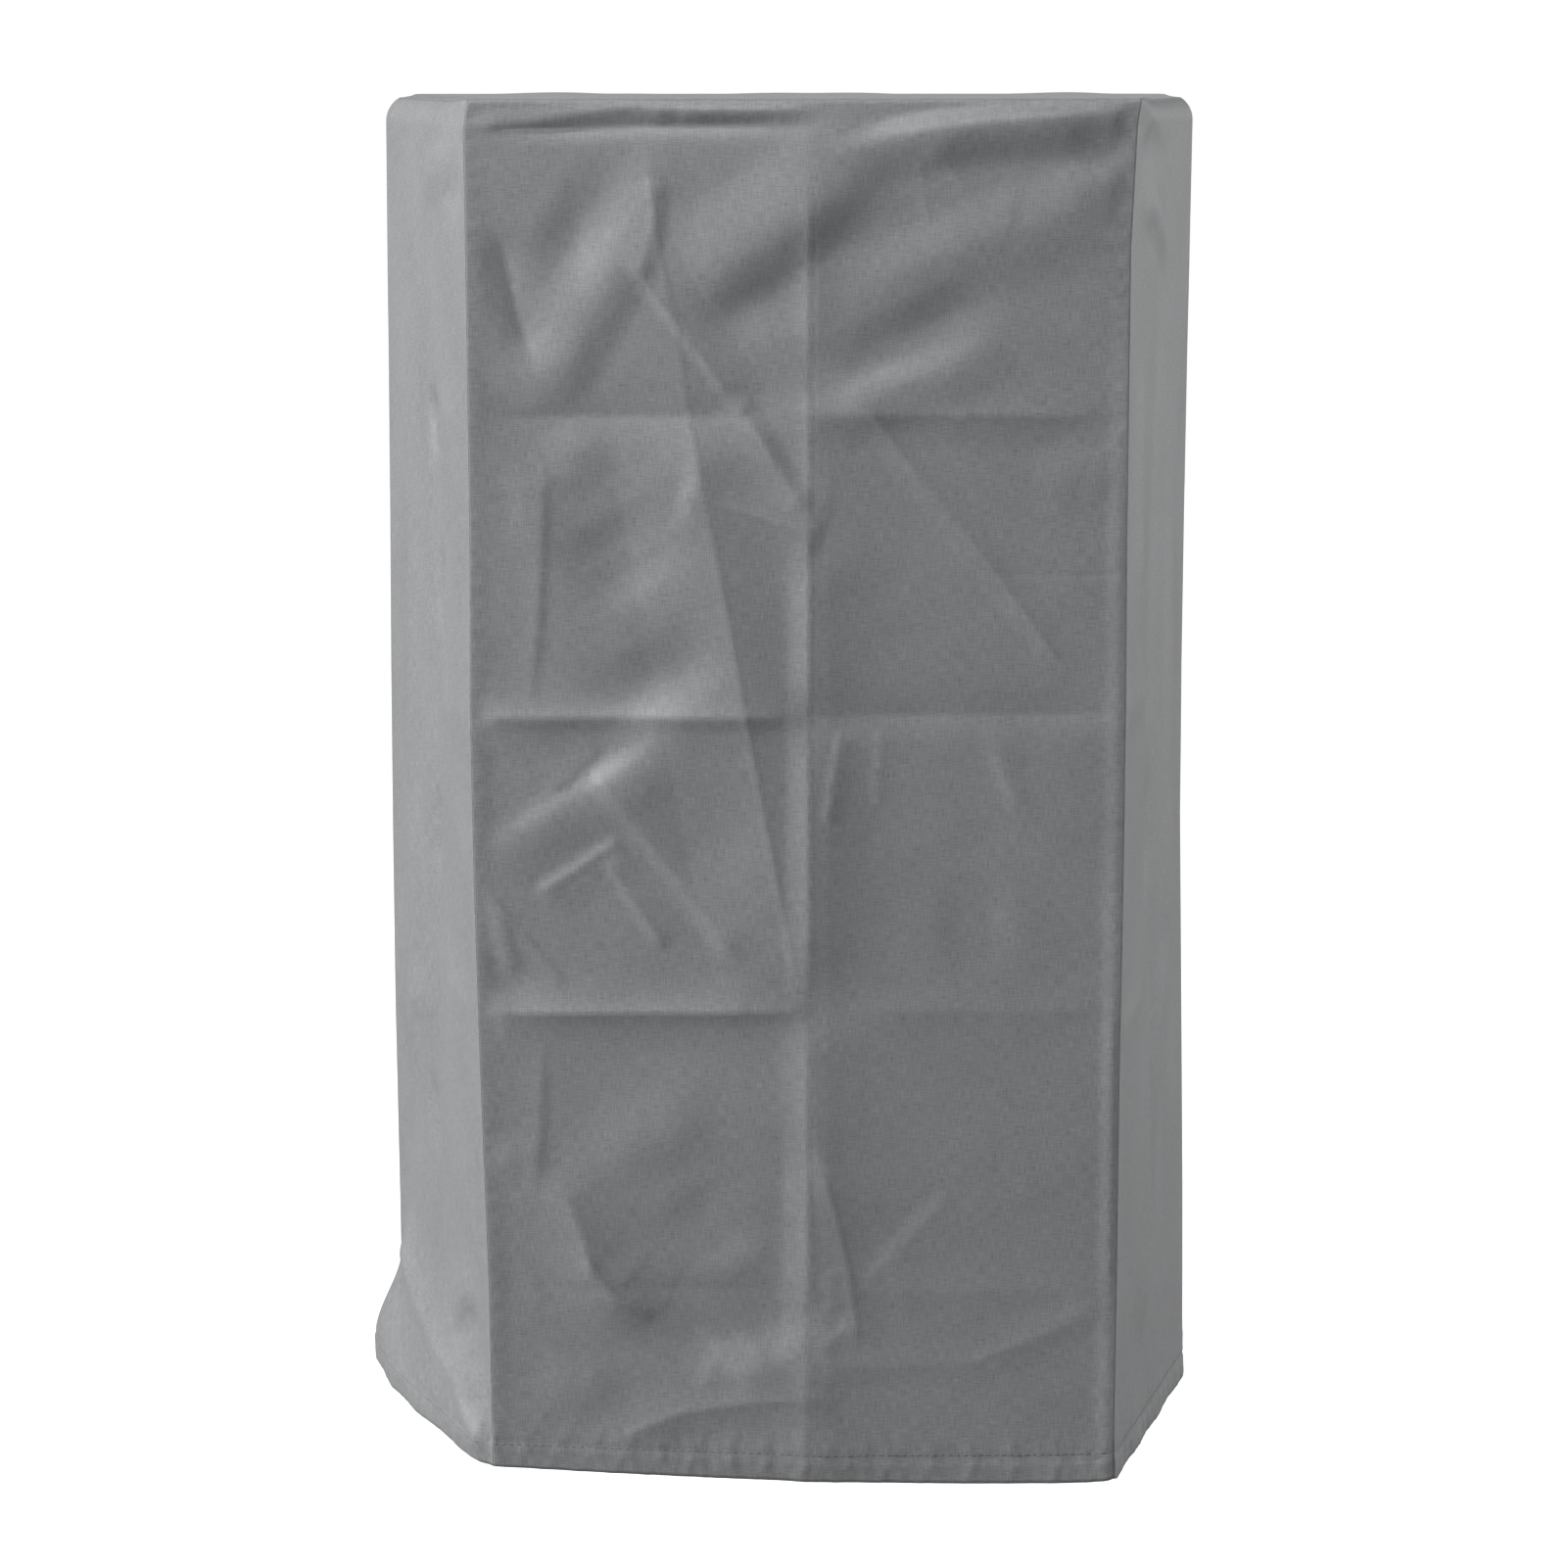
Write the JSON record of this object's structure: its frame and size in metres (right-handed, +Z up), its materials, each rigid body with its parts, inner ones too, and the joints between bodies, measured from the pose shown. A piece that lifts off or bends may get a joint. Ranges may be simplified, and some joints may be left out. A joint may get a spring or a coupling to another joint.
{
  "type": "fitted cloth cover",
  "caption": "Tall fitted cloth cover for a wall-mounted charger: a hollow box of grey coated polyester, open at the bottom, with a stitched hem and packing creases.",
  "frame": {"origin": "middle of the top panel's underside, where the cover rests on what it covers", "axes": "+Z up, front panel towards -Y, +X to the right as seen from the front"},
  "size_m": [0.4865, 0.2082, 0.7618],
  "materials": {
    "front_cloth": "satin grey coated plain-weave polyester",
    "wrap_cloth": "satin grey coated plain-weave polyester",
    "top_cloth": "satin grey coated plain-weave polyester"
  },
  "bodies": {
    "root": {"front_panel": "front_cloth", "side_back_wrap": "wrap_cloth", "top_panel": "top_cloth"}
  },
  "joints": []
}
